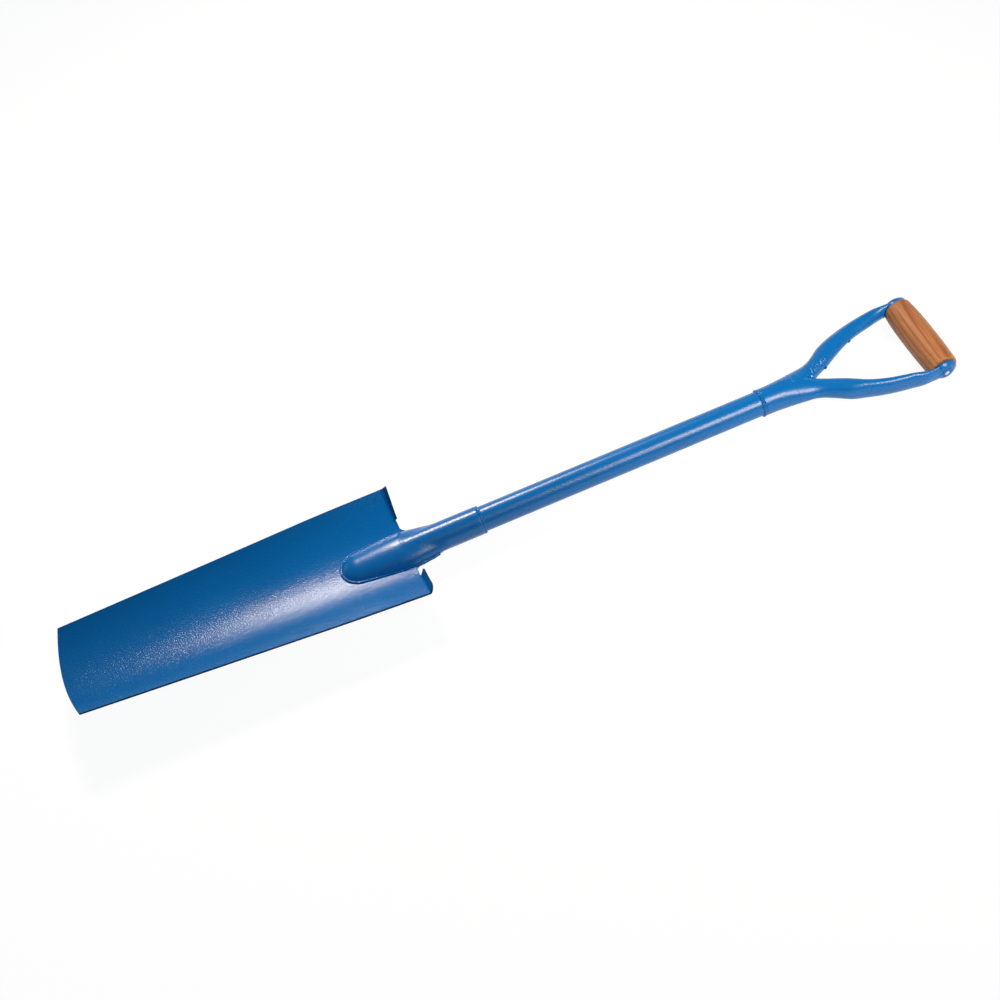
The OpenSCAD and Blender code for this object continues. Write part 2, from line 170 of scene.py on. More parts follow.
ROOT_NEAR = (8 * MM, 0.46 * ELBOW_AT)
ROOT_BEND = 3.5 * MM
ROOT_PARTED = 1 * MM
ROOT_THINS = (-20 * MM, 12 * MM)
SEAM_H = 1.0 * MM
SEAM_ANGLES = (2.0, 2.35)
SEAM_SPREAD = 0.36
SEAM_AT = ((0.13, 0.17), (0.27, 0.33))
SEAM_TURNS = (0.14, 0.32)
SEAM_CAP = 1.6
CROTCH_R = 9.2 * MM
CROTCH_BACK = 6.2 * MM
CROTCH_FORM = (0.95, 0.8, 1.05)
TACK_SHARES = (0.235, 0.5)
TACK_R = 1.6 * MM
TACK_FORM = (1.25, 0.8)
TACK_WAVER = 0.1

# Eyes, grip and rivet
EYE_R = 16 * MM
EYE_HALVES = {1: (14.6 * MM, 13.4 * MM), -1: (14.4 * MM, 12.2 * MM)}
EYE_RIM_T = 2.6 * MM
EYE_EASE = 0.9 * MM
EYE_DOME = 5 * MM
EYE_RECESS = 1.6 * MM
EYE_LIP = 0.5 * MM
GRIP_LEN = 102.4 * MM
GRIP_SHORT = 2.8 * MM
GRIP_END_RS = {1: 15.6 * MM, -1: 16.6 * MM}
GRIP_MID_R = 18 * MM
GRIP_FALL = 2.6
GRIP_DROP = 1.5 * MM
GRIP_GAP = 0.3 * MM
GRIP_ROUND = 1.5 * MM
RIVET_R = 4 * MM
RIVET_ROOM = 0.1 * MM
RIVET_HEAD_R = 5 * MM
RIVET_HEAD_H = 2.2 * MM
RIVET_HEAD_RIM = 0.35 * MM
RIVET_HEAD_FALL = 2.6
RECESS_ROOM = 1 * MM

# Places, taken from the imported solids: the socket's rim is the zero of the tool's own X
RIM = Vector((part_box("socket")[1].x, 0, (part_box("shaft")[0].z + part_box("shaft")[1].z) / 2))
FORK_X = SHAFT_SHOW + STEM_LEN
GRIP_X = FORK_X + ARM_REACH
EYE_IN = GRIP_LEN / 2 + GRIP_GAP
EYE_INS = {1: EYE_IN - GRIP_SHORT, -1: EYE_IN}

# Colours and patterns. Scales of the patterns are repeats to the metre.
PAINT_DEEP = (0.0, 0.174, 0.545)
PAINT_BRIGHT = (0.0, 0.195, 0.60)
PAINT_CLOUDS = 11
PAINT_DIMPLES = 720
PAINT_PATCHES = 24
PAINT_DULL = (0.19, 0.23)
PAINT_BUMP = 0.5
PAINT_BUMP_H = 0.5 * MM
# Painted shade: dark blues for the sheet's rim and eased edges, mottled at random, standing in for the
# shade along them
EDGE_SHADE_DEEP = (0.0, 0.035, 0.11, 1)
EDGE_SHADE_PALE = (0.0, 0.065, 0.20, 1)
EDGE_SHADE_MOTTLE = 160
EDGE_GRAIN = 520
EDGE_DULL = 0.42
EDGE_SHINE = 0.15
WOOD_MID = (0.63, 0.25, 0.089)
WOOD_LIGHT = (0.72, 0.31, 0.115)
WOOD_LATE = (0.46, 0.165, 0.055)
WOOD_SHADE = (0.62, 0.56, 0.52)
WOOD_RINGS = 170
WOOD_WARP = 6.5
WOOD_PORES = 1300
WOOD_WAVES = 24
WOOD_CLOUDS = 20
WOOD_SHINE = 0.3
ALONG_GRAIN = (1, 0.12, 1)
ALONG_PORES = (1, 0.03, 1)
VARNISH = 0.05
VARNISH_DULL = 0.3
PITH_X = 0.035
PITH_Z = 0.02
STEEL_DARK = (0.60, 0.52, 0.40)
STEEL_LIGHT = (0.88, 0.82, 0.70)
STEEL_DENTS = 700
STEEL_PATCHES = 300

# Studio
FLOOR_REACH = 7.0
FLOOR_POINTS = 29
FLOOR_FLAT = 4.5
FLOOR_SWEEP = 0.18
FLOOR_SHOWN = 0.86
FLOOR_GLOW = 1.1
FLOOR_CARD = (0.8, 0.8, 0.8, 1)
WORLD_COLOUR = (0.5, 0.76, 1.0, 1)
WORLD_LEVEL = 0.14
LAMP_COLOUR = (1.0, 0.87, 0.77)
LAMPS = {
    "far_soft_box": {"place": (0.04, 1.45, 1.42), "target": (-0.2, 0.0, 0.02), "size": (0.4, 0.3),
                     "power": 5.8, "spread": 80},
    "near_soft_box": {"place": (0.76, -0.90, 1.22), "target": (0.42, 0.0, 0.02), "size": (0.6, 0.7),
                      "power": 2.1, "spread": 48},
}
CAMERA_SENSOR = 36
CAMERA_LENS = 55.29
CAMERA_FAR = 50
CAMERA_PLACE = Vector((-0.137824, -0.975986, 1.355975))
CAMERA_RIGHT = Vector((0.918626, -0.364352, -0.152886))
CAMERA_BACK = Vector((-0.099086, -0.586984, 0.803512))


def ease(a, b, t):
    """Rises smoothly from 0 at a to 1 at b: 3u^2 - 2u^3 of the share u of the way."""
    u = np.clip((t - a) / (b - a), 0, 1)
    return u * u * (3 - 2 * u)


def between(rise, fall, t):
    """Rises smoothly from 0 to 1 over the first range, and falls back over the second."""
    return ease(*rise, t) * (1 - ease(*fall, t))


def mix(a, b, t):
    """From a to b by the share t."""
    return a + (b - a) * t


def soft_max(a, b, reach):
    """The larger of a and b, rounded over a difference of reach by a parabola."""
    h = np.clip(1 - np.abs(a - b) / reach, 0, None)
    return np.maximum(a, b) + h * h * reach / 4


def ripple(phase, seed):
    """A smooth wavering between about -1 and 1: a sum of sines of rising pitch and random phase."""
    terms = 7
    rng = np.random.default_rng(seed)
    pitch = np.arange(1, terms + 1) * rng.uniform(0.8, 1.2, terms)
    shift = rng.uniform(0, TAU, terms)
    waves = np.sin(phase[..., None] * pitch + shift)
    return waves.sum(-1) / math.sqrt(terms)


# Meshes


def grid_faces(rows, cols, start=0):
    """Quads between neighbours of a grid of rows by cols points, numbered row by row."""
    index = start + np.arange(rows * cols).reshape(rows, cols)
    corners = index[:-1, :-1], index[:-1, 1:], index[1:, 1:], index[1:, :-1]
    return np.stack(corners, -1).reshape(-1, 4)


def add_object(name, data):
    """A new object in the scene."""
    obj = bpy.data.objects.new(name, data)
    bpy.context.scene.collection.objects.link(obj)
    return obj


def shade_smooth(mesh):
    """Smooth shading on every face of a mesh."""
    mesh.polygons.foreach_set("use_smooth", np.ones(len(mesh.polygons), bool))


def piece(name, grids):
    """One object from grids of points: its quads are joined where points meet, and turned outwards."""
    points, faces, start = [], [], 0
    for grid in grids:
        rows, cols = grid.shape[:2]
        points.append(grid.reshape(-1, 3))
        faces.append(grid_faces(rows, cols, start))
        start += rows * cols
    points, faces = np.concatenate(points) + np.array(RIM), np.concatenate(faces)
    mesh = bpy.data.meshes.new(name)
    mesh.vertices.add(len(points))
    mesh.vertices.foreach_set("co", points.ravel())
    mesh.loops.add(faces.size)
    mesh.loops.foreach_set("vertex_index", faces.ravel())
    mesh.polygons.add(len(faces))
    mesh.polygons.foreach_set("loop_start", np.arange(len(faces)) * 4)
    mesh.update(calc_edges=True)
    work = bmesh.new()
    work.from_mesh(mesh)
    bmesh.ops.remove_doubles(work, verts=work.verts, dist=JOIN_DIST)
    bmesh.ops.dissolve_degenerate(work, edges=work.edges, dist=JOIN_DIST)
    bmesh.ops.recalc_face_normals(work, faces=work.faces)
    work.to_mesh(mesh)
    work.free()
    shade_smooth(mesh)
    return add_object(name, mesh)


def revolve(profile, axis, turns):
    """A profile of (place along the axis, radius) turned about the shaft's axis x or the grip's axis y."""
    profile = np.asarray(profile, float)
    angle = np.linspace(0, TAU, turns + 1)
    along = np.repeat(profile[:, :1], turns + 1, 1)
    radius = np.repeat(profile[:, 1:], turns + 1, 1)
    side, rise = radius * np.cos(angle), radius * np.sin(angle)
    side[:, -1], rise[:, -1] = side[:, 0], rise[:, 0]
    if axis == "x":
        return np.stack([along, side, rise], -1)
    return np.stack([GRIP_X + side, along, rise - GRIP_DROP], -1)


def arc(centre, radius, start, end):
    """Points of a circular arc in a profile, from one angle in degrees to another."""
    a = np.radians(np.linspace(start, end, 8))
    return np.stack([centre[0] + radius * np.cos(a), centre[1] + radius * np.sin(a)], -1)


def sweep(path, across, up, half_w, half_h, sides, lean=None):
    """Ellipses carried along a path.

    Each has its half widths along the directions across and up, and is turned by lean."""
    angle = np.linspace(0, TAU, sides + 1)
    angle[-1] = 0
    u, v = half_w[:, None] * np.cos(angle), half_h[:, None] * np.sin(angle)
    if lean is not None:
        c, s = np.cos(lean)[:, None], np.sin(lean)[:, None]
        u, v = u * c + v * s, v * c - u * s
    return path[:, None] + across[:, None] * u[..., None] + up[:, None] * v[..., None]


def directions(path):
    """Unit tangents of a path, from the differences of its neighbours."""
    way = np.gradient(path, axis=0)
    return way / np.linalg.norm(way, axis=1, keepdims=True)


def lengths(path):
    """Length along a path up to each of its points."""
    return np.concatenate([[0], np.cumsum(np.linalg.norm(np.diff(path, axis=0), axis=1))])


def bead(path, normal, seed):
    """A weld bead along a path, with its ends drawn to points: an ellipse, raised a little over the path.

    Its radius swells with the welder's steps, a cosine of the length with a wavering phase."""
    way = directions(path)
    across = np.cross(normal, way)
    across /= np.linalg.norm(across, axis=1, keepdims=True)
    up = np.cross(way, across)
    length = lengths(path)
    share = length / length[-1]
    steps = np.cos(TAU * length / BEAD_PITCH + 1.5 * ripple(length / BEAD_DRIFT, seed))
    swell = 1 + BEAD_SWELL * steps + 0.6 * BEAD_SWELL * ripple(length / BEAD_LUMPS, seed + 1)
    ends = np.sqrt(np.clip(1 - np.abs(2 * share - 1) ** BEAD_POINT, 0, None))
    size = BEAD_R * swell * ends
    return sweep(path + up * BEAD_RAISE * BEAD_R, across, up, size, BEAD_HIGH * size, 24)


# Blade


def blade_place(s, y, radial=None):
    """From the blade's own frame to the tool's: s along it, y across it, radial off the gutter's axis.

    Without radial, the place is in the middle of the sheet."""
    if radial is None:
        radial = np.full_like(y, SHEET_R)
    z = GUTTER_R - np.sqrt(radial**2 - y**2)
    c, d = math.cos(BLADE_LIFT), math.sin(BLADE_LIFT)
    return np.stack([s * c + z * d - NECK_LEN, y, z * c - s * d - FACE_DROP], -1)


def sheet_height(x, y, off=0.0):
    """Height of the middle of the blade's sheet in the tool's frame, or off it towards the hollow face."""
    z = GUTTER_R - np.sqrt((SHEET_R - off) ** 2 - y**2)
    s = (x + NECK_LEN - z * math.sin(BLADE_LIFT)) / math.cos(BLADE_LIFT)
    return z * math.cos(BLADE_LIFT) - s * math.sin(BLADE_LIFT) - FACE_DROP


def half_width(s):
    """Half the blade's width: two straight tapers, with the bend between them eased over a parabola."""
    top = (SHOULDER_W - FLANK_W) / 2 / FLANK_AT
    low = (FLANK_W - TIP_W) / 2 / (BLADE_LEN - FLANK_AT)
    upper, lower = SHOULDER_W / 2 + s * top, FLANK_W / 2 + (s + FLANK_AT) * low
    return -soft_max(-upper, -lower, FLANK_EASE * (low - top))


def tip_edge(share):
    """Where the bowed cutting edge lies, for a share of the half width: an arc through its corners."""
    half = TIP_W / 2
    radius = (half * half + TIP_BOW * TIP_BOW) / (2 * TIP_BOW)
    return -BLADE_LEN - np.sqrt(radius**2 - (share * half) ** 2) + radius - TIP_BOW


def fold(s, tread, full_turn):
    """How far a tread's strip goes along the blade and towards the gutter's axis, for a flat length s."""
    q = np.clip(s + tread["set"], 0, None)
    turn = np.minimum(q / tread["bend"], full_turn)
    leg = np.clip(q - tread["bend"] * full_turn, 0, None)
    along = tread["bend"] * np.sin(turn) + leg * np.cos(full_turn)
    rise = tread["bend"] * (1 - np.cos(turn)) + leg * np.sin(full_turn)
    return np.where(s > -tread["set"], along - tread["set"], s), rise


def notch_floor(side):
    """Where the relief notch beside a tread ends, along the blade."""
    return -TREADS[side]["set"] - NOTCH_REACH


def tread_strip(shares, side):
    """One tread, from the notch's floor up: its flat strip, rounded at the outer corner, folded over.

    The turn of the fold goes evenly from the inner end's to the outer end's."""
    tread = TREADS[side]
    corner = tread["corner"]
    end = tread["run"] - tread["set"]
    out = np.clip(np.abs(shares) * half_width(end) - half_width(end) + corner, 0, corner)
    reach = (np.abs(shares) - np.abs(shares).min()) / (1 - np.abs(shares).min())
    top = end - corner + np.sqrt(corner**2 - out**2) - tread["run_out"] * (1 - ease(0, 0.5, reach))
    rows = 44
    s = mix(notch_floor(side), top[None, :], np.linspace(0, 1, rows)[:, None])
    y = shares[None, :] * half_width(s)
    inner, outer = tread["turns"]
    along, rise = fold(s, tread, mix(inner, outer, reach)[None, :])
    angle = np.arcsin(y / SHEET_R)
    return blade_place(along, (SHEET_R - rise) * np.sin(angle), SHEET_R - rise)


def web_strip(shares, floor):
    """The neck between the treads: up from the notches' floor, round a small foot, then in to the socket.

    The way in is a parabola of three poles: the foot, a pull near it, and the socket's side."""
    climb_rows, foot_rows, curve_rows = 7, 8, 27
    end = SOCKET_R * WEB_IN_SOCKET
    t = np.linspace(0, 1, curve_rows + 1)[1:]
    pull_s, pull_half = WEB_LEN * WEB_PULL[0], mix(end, WEB_W / 2, WEB_PULL[1])
    s = 2 * t * (1 - t) * pull_s + t * t * WEB_LEN
    half = (1 - t) ** 2 * WEB_W / 2 + 2 * t * (1 - t) * pull_half + t * t * end
    turn = np.linspace(0, 1, foot_rows + 1)[1:]
    swing = WEB_FOOT * np.sin(turn * math.pi / 2) - WEB_FOOT
    foot = np.concatenate([np.full(climb_rows, -WEB_FOOT), swing])
    s = np.concatenate([foot, s])[:, None]
    climb = np.concatenate([np.linspace(0, 1, climb_rows), np.ones(len(s) - climb_rows)])[:, None]
    s = mix(floor[None, :], s, climb)
    wide = np.abs(shares) * half_width(floor)
    narrow = np.concatenate([np.zeros(climb_rows), turn, np.ones(len(t))])[:, None]
    half = np.concatenate([np.full(len(foot), WEB_W / 2), half])[:, None]
    y = mix(wide[None, :], half * np.abs(shares) / np.abs(shares).max(), narrow) * np.sign(shares)
    return blade_place(s, y)


def make_blade():
    """The middle of the sheet as grids that share their edges, thickened and eased at its rim.

    The grid's lines crowd towards the long edges and the tip."""
    outer_cols, inner_cols, rows = 33, 65, 241
    edge_crowd, tip_crowd = 1.8, 1.25
    top = half_width(np.array(notch_floor(-1)))
    outer = mix(TREAD_IN / top, 1, 1 - (1 - np.linspace(0, 1, outer_cols)) ** edge_crowd)
    low, high = -(TREAD_IN - TREADS[-1]["notch"]), TREAD_IN - TREADS[1]["notch"]
    inner = np.linspace(low, high, inner_cols) / top
    shares = np.concatenate([-outer[::-1], inner, outer])
    floor = mix(notch_floor(-1), notch_floor(1), ease(-0.4, 0.4, shares))
    rise = np.linspace(0, 1, rows)[:, None] ** tip_crowd
    s = mix(tip_edge(shares)[None, :], floor[None, :], rise)
    body = blade_place(s, shares[None, :] * half_width(s))
    web = web_strip(inner, floor[len(outer):-len(outer)])
    blade = piece("blade_sheet", [body, web, tread_strip(outer, 1), tread_strip(-outer[::-1], -1)])
    thick = blade.modifiers.new("thickness", "SOLIDIFY")
    thick.thickness = SHEET_T
    thick.offset = 0
    thick.use_even_offset = True
    # The rim and the eased edges take the second material, the painted shade along the sheet's edge
    thick.material_offset_rim = 1
    soften = blade.modifiers.new("eased_edges", "BEVEL")
    soften.width = EDGE_EASE
    soften.segments = 3
    soften.limit_method = "ANGLE"
    soften.angle_limit = EDGE_ANGLE
    soften.harden_normals = True
    soften.material = 1
    return blade


# Socket and its welds


def thumb_half(x, reach):
    """Half width of the thumb or the heel: a round nose, a slow swell and a flare into the tube."""
    nose_r = THUMB_NOSE_W / 2
    nose_x = nose_r - NECK_LEN - reach
    swell = (THUMB_ROOT_W - THUMB_NOSE_W) / 2
    flare = THUMB_ROOT_W / 2 - SOCKET_R + THUMB_SINK
    body = nose_r + swell * ease(nose_x - nose_r, -NECK_LEN - nose_r / 2, x)
    body = body - flare * ease(THUMB_FLARE[0] - NECK_LEN, THUMB_FLARE[1] - NECK_LEN, x)
    back = np.clip((nose_x - x) / nose_r, 0, 1)
    return body * np.sqrt(1 - back**2)


def section_radius(x, angle, reach):
    """Distance of the socket's skin from its axis: the tube and the flattened thumb, softly joined."""
    half = thumb_half(x, reach)
    flat = half / np.sqrt(np.cos(angle) ** 2 + (np.sin(angle) / THUMB_FLAT) ** 2)
    tube = SOCKET_R * (1 - TUBE_FADE * ease(-NECK_LEN, -NECK_LEN - TUBE_FADE_LEN, x))
    return np.where(half > 0, soft_max(flat, tube, THUMB_BLEND), 0)


def make_socket():
    """The socket's skin: closed sections along X, the thumb over the sheet and the heel under it.

    Above the sheet a point keeps to the thumb, below it to the heel. What is in neither lies in it."""
    nose = -NECK_LEN - THUMB_LEN
    nose_end, rim_start = nose + NOSE_LEN, -RIM_LEN
    share = np.linspace(0, 1, 90)
    x = np.concatenate([
        nose + NOSE_LEN * (1 - np.cos(share * math.pi / 2)),
        np.linspace(nose_end, rim_start, 190)[1:],
        np.linspace(rim_start, 0, 14)[1:],
    ])
    over = np.linspace(0, math.pi, 81)
    under = np.linspace(math.pi, TAU, 81)[1:]
    grid_x, over = np.meshgrid(x, over, indexing="ij")
    top_r = section_radius(grid_x, over, THUMB_LEN)
    top_y, top_z = top_r * np.cos(over), top_r * np.sin(over)
    top_z = np.maximum(top_z, np.where(grid_x < -NECK_LEN + WEB_LEN, sheet_height(grid_x, top_y), 0))
    grid_u, under = np.meshgrid(x, under, indexing="ij")
    low_r = section_radius(grid_u, under, HEEL_LEN)
    in_heel = low_r > 0
    low_y = np.where(in_heel, low_r, top_r[:, :1]) * np.cos(under)
    low_z = np.where(in_heel, low_r * np.sin(under), 1)
    low_z = np.minimum(low_z, np.where(grid_u < -NECK_LEN + WEB_LEN, sheet_height(grid_u, low_y), 0))
    low_y[:, -1], low_z[:, -1] = top_y[:, 0], top_z[:, 0]
    rim = np.clip((x / SOCKET_EASE_RUN) + 1, 0, 1)[:, None]
    shrink = 1 - SOCKET_EASE / SOCKET_R * (1 - np.sqrt(1 - rim**2))
    top_y, top_z, low_y, low_z = (part * shrink for part in (top_y, top_z, low_y, low_z))
    skin = np.stack([
        np.concatenate([grid_x, grid_u], 1),
        np.concatenate([top_y, low_y], 1),
        np.concatenate([top_z, low_z], 1),
    ], -1)
    inner = skin[-1:] * np.array([1, SHAFT_R / SOCKET_R, SHAFT_R / SOCKET_R])
    deep = inner - np.array([SOCKET_DEPTH, 0, 0])
    axis = deep * np.array([1, 0, 0])
    nose_point = np.repeat(skin[:1].mean(1, keepdims=True), skin.shape[1], 1)
    return piece("socket_skin", [np.concatenate([nose_point, skin, inner, deep, axis])])


def foot_path(reach, side):
    """The line where the thumb or the heel meets the sheet's face, from flank round the nose to flank."""
    count = 420
    nose = -NECK_LEN - reach
    share = np.linspace(-1, 1, count)
    start = -NECK_LEN + BEAD_START
    x = nose + (start - nose) * np.abs(share) ** 1.6
    y = thumb_half(x, reach)
    for _ in range(3):
        face = np.abs(sheet_height(x, y, side * SHEET_T / 2)) / THUMB_FLAT
        y = np.sqrt(np.clip(thumb_half(x, reach) ** 2 - face**2, 0, None))
    y = np.maximum(y, np.where(x > -NECK_LEN, SOCKET_R * BEAD_IN_SOCKET, 0)) * np.sign(share)
    z = sheet_height(x, y, side * SHEET_T / 2)
    path = np.stack([x, y, z], -1)
    length = lengths(path)
    even = np.linspace(0, length[-1], count)
    return np.stack([np.interp(even, length, path[:, k]) for k in range(3)], -1)


def make_foot_weld(name, reach, side, seed):
    """The bead round the foot of the thumb or the heel, on the gutter's hollow side (1) or its back."""
    path = foot_path(reach, side)
    normal = np.stack([np.zeros(len(path)), -path[:, 1] / GUTTER_R, np.ones(len(path))], -1) * side
    return piece(name, [bead(path, normal, seed)])


def make_ring_weld(name, x, radius, size, seed):
    """A weld once round the shaft: a bead whose path is a circle, closed on itself."""
    angle = np.linspace(0, TAU, 361)
    round_angle = np.linspace(0, TAU, 25)
    steps = np.cos(angle * RING_STEPS + 0.8 * np.sin(3 * angle + seed))
    swell = 1 + RING_SWELL * steps + RING_UNEVEN * np.sin(5 * angle + seed)
    thick = size * swell[:, None]
    out = radius + thick * np.sin(round_angle)
    sway = RING_SWAY * np.sin(4 * angle + seed)[:, None]
    along = x + sway + RING_WIDE * thick * np.cos(round_angle)
    ring = np.stack([along, out * np.cos(angle)[:, None], out * np.sin(angle)[:, None]], -1)
    ring[-1] = ring[0]
    ring[:, -1] = ring[:, 0]
    return piece(name, [ring])


# Shaft and hilt


def make_shaft():
    """The tube, a round of one radius from inside the socket to inside the stem, closed at its ends."""
    start, end = -SHAFT_IN_SOCKET, SHAFT_SHOW + SHAFT_IN_STEM
    x = np.linspace(start, end, 120)
    profile = np.stack([x, np.full_like(x, SHAFT_R)], -1)
    profile = np.concatenate([[[start, 0]], profile, [[end, 0]]])
    return piece("shaft_tube", [revolve(profile, "x", 144)])


def stem_half(x):
    """Half width and half height of the stem: round at its rim, a wide flat oval at the fork."""
    u = np.clip((x - SHAFT_SHOW) / STEM_LEN, 0, 1)
    wide = mix(STEM_R, FORK_W / 2, ease(*STEM_WIDEN, u) / ease(*STEM_WIDEN, 1))
    high = mix(STEM_R, FORK_T / 2, ease(*STEM_FLATTEN, u) / ease(*STEM_FLATTEN, 1))
    return wide, high


def root_edges(x, side):
    """Outer and inner edge and half height of an arm's oval in a plane across the shaft, near the fork.

    The outer edge leaves the stem's along a soft bend. The inner edge goes from the stem's far side, where
    the oval is the whole stem, to the arm's own, so the two ovals part in a groove up to the crotch."""
    wide, high = stem_half(x)
    slope = (ELBOW_W / 2 - FORK_W / 4) / ELBOW_AT
    half = FORK_W / 4 * math.sqrt(1 + slope**2)
    line = FORK_W / 4 + slope * (x - FORK_X)
    near = 1 - ease(FORK_X + ROOT_NEAR[0], FORK_X + ROOT_NEAR[1], x)
    outer = soft_max(wide, line + half - ROOT_DIPS[side] * near, ROOT_BEND)
    own = line - half + ROOT_TUCKS[side] * near
    inner = mix(-outer, own, ease(FORK_X - ARM_START, FORK_X + ROOT_PARTED, x))
    thinned = ease(FORK_X + ROOT_THINS[0], FORK_X + ROOT_THINS[1], x)
    return outer, inner, mix(high, ARM_ROOT_T / 2, thinned)


def make_stem():
    """The stem's skin about the shaft's axis: in each plane the arms' two ovals, seen from the axis.

    The distance to an oval off the axis is the root of its quadratic."""
    x = np.linspace(SHAFT_SHOW + STEM_EASE, FORK_X - STEM_SHORT, 110)[:, None]
    angle = np.linspace(0, TAU, 145)[None, :]
    lobes = []
    for side in (1, -1):
        outer, inner, high = root_edges(x, side)
        centre, wide = (outer + inner) / 2, (outer - inner) / 2
        c, s = side * np.cos(angle), np.sin(angle)
        square = c * c / wide**2 + s * s / high**2
        half = centre * c / wide**2
        lobes.append((half + np.sqrt(half**2 - square * (centre**2 / wide**2 - 1))) / square)
    radius = np.maximum(*lobes)
    turn = np.linspace(0, math.pi / 2, 12)[:-1, None]
    rim_x = SHAFT_SHOW + STEM_EASE * (1 - np.cos(turn))
    rim = radius[0] - STEM_EASE * (1 - np.sin(turn))
    x, radius = np.concatenate([rim_x, x]), np.concatenate([rim, radius])
    skin = np.stack([x + 0 * angle, radius * np.cos(angle), radius * np.sin(angle)], -1)
    skin[:, -1] = skin[:, 0]
    axis = skin * np.array([1, 0, 0])
    return piece("hilt_stem_skin", [np.concatenate([axis[:1], skin, axis[-1:]])])


def arm_line(t, side):
    """The arm's middle: along its root in the stem, round the elbow in a parabola, straight to the eye."""
    fork = np.array([FORK_X, FORK_W / 4, 0])
    elbow = np.array([FORK_X + ELBOW_AT, ELBOW_W / 2, -ELBOW_DROP * GRIP_DROP])
    eye = np.array([GRIP_X - EYE_R / 2, EYE_IN + EYE_RIM_T, -GRIP_DROP])
    lead, tail = mix(elbow, fork, BEND_POLES), mix(elbow, eye, BEND_POLES)
    x = mix(FORK_X - ARM_START, lead[0], t / BEND_FROM)
    outer, inner, _ = root_edges(x, side)
    root = np.stack([x, (outer + inner) / 2, lead[2] * np.clip(t / BEND_FROM, 0, 1)], -1)
    t = t[:, None]
    u = np.clip((t - BEND_FROM) / (BEND_TO - BEND_FROM), 0, 1)
    turn = lead * (1 - u) ** 2 + 2 * elbow * u * (1 - u) + tail * u * u
    line = np.where(t < BEND_FROM, root, mix(tail, eye, (t - BEND_TO) / (1 - BEND_TO)))
    return np.where((t >= BEND_FROM) & (t <= BEND_TO), turn, line)


def arm_sizes(t, path, side):
    """Half width along the ring, half height, lean, and the direction of each ring across the arm.

    Rings lie across the shaft at the root and turn across the arm further on."""
    wider, taller = ARM_CHANGES[side]
    way = directions(path)
    angle = np.arctan2(way[:, 1], way[:, 0])
    turned = angle * ease(*ARM_TURNS, t)
    outer, inner, high = root_edges(path[:, 0], side)
    wide = mix(FORK_W / 4, ARM_W / 2, ease(*ARM_NARROWS, t)) + wider * between(*ARM_WIDER_AT, t)
    wide = np.where(t < BEND_FROM, (outer - inner) / 2 * np.cos(angle), wide) / np.cos(angle - turned)
    limb = mix(ARM_ROOT_T / 2, ARM_T / 2, ease(*ARM_FLATTENS, t))
    limb = mix(limb, ARM_END_T / 2, ease(*ARM_THICKENS, t))
    high = np.where(t < BEND_FROM, high, limb) + taller * between(*ARM_TALLER_AT, t)
    lean = ARM_LEAN * between(*ARM_LEANS_AT, t) * (side == 1)
    return wide, high, lean, np.stack([-np.sin(turned), np.cos(turned), 0 * t], -1)


def add_seam(tube, path, t):
    """A rough seam of weld along an arm's root, as lumps that are added to the ovals' radius.

    Its height is a bell curve of the angle from the seam's middle, and wavers along it and across."""
    angle = np.linspace(0, TAU, tube.shape[1])
    angle[-1] = 0
    t = t[:, None]
    middle = mix(*SEAM_ANGLES, ease(*SEAM_TURNS, t))
    seam = np.exp(-(((angle - middle) / SEAM_SPREAD) ** 2)) * between(*SEAM_AT, t)
    lumps = 0.5 + 0.6 * ripple(t * 70 + 0 * angle, 11) + 0.45 * ripple(angle * 8 + t * 45, 12)
    away = tube - path[:, None]
    away /= np.linalg.norm(away, axis=-1, keepdims=True)
    tube = tube + away * (SEAM_H * seam * np.clip(lumps, 0, SEAM_CAP))[..., None]
    tube[:, -1] = tube[:, 0]
    return tube


def eye_grid(inner, half_x, half_z):
    """The eye: a plate with an eased rim and a low dome, sunk in the middle for the rivet's head.

    It is turned as a round, and drawn in to an oval outside the recess."""
    dome_r = (EYE_R**2 + EYE_DOME**2) / (2 * EYE_DOME)
    top = EYE_IN + EYE_RIM_T + EYE_DOME
    sunk = RIVET_HEAD_R + RECESS_ROOM
    rim = arc((inner + EYE_EASE, EYE_R - EYE_EASE), EYE_EASE, 180, 90)
    out = np.linspace(EYE_R - 0.3 * MM, sunk + EYE_LIP, 26)
    dome = np.stack([top - dome_r + np.sqrt(dome_r**2 - out**2), out], -1)
    lip = np.array([[top - 1.0 * MM, sunk + 0.1 * MM], [top - EYE_RECESS + 0.2 * MM, sunk - 0.1 * MM]])
    seat = np.array([[top - EYE_RECESS, sunk - EYE_LIP], [top - EYE_RECESS, 0]])
    grid = revolve(np.concatenate([[[inner, 0]], rim, dome, lip, seat]), "y", 96)
    axis = np.array([GRIP_X, 0, -GRIP_DROP])
    away = (grid - axis) * np.array([1, 0, 1])
    drawn = ease(sunk + 1 * MM, EYE_R, np.linalg.norm(away, axis=-1, keepdims=True))
    return grid + away * (np.array([half_x / EYE_R, 1, half_z / EYE_R]) - 1) * drawn


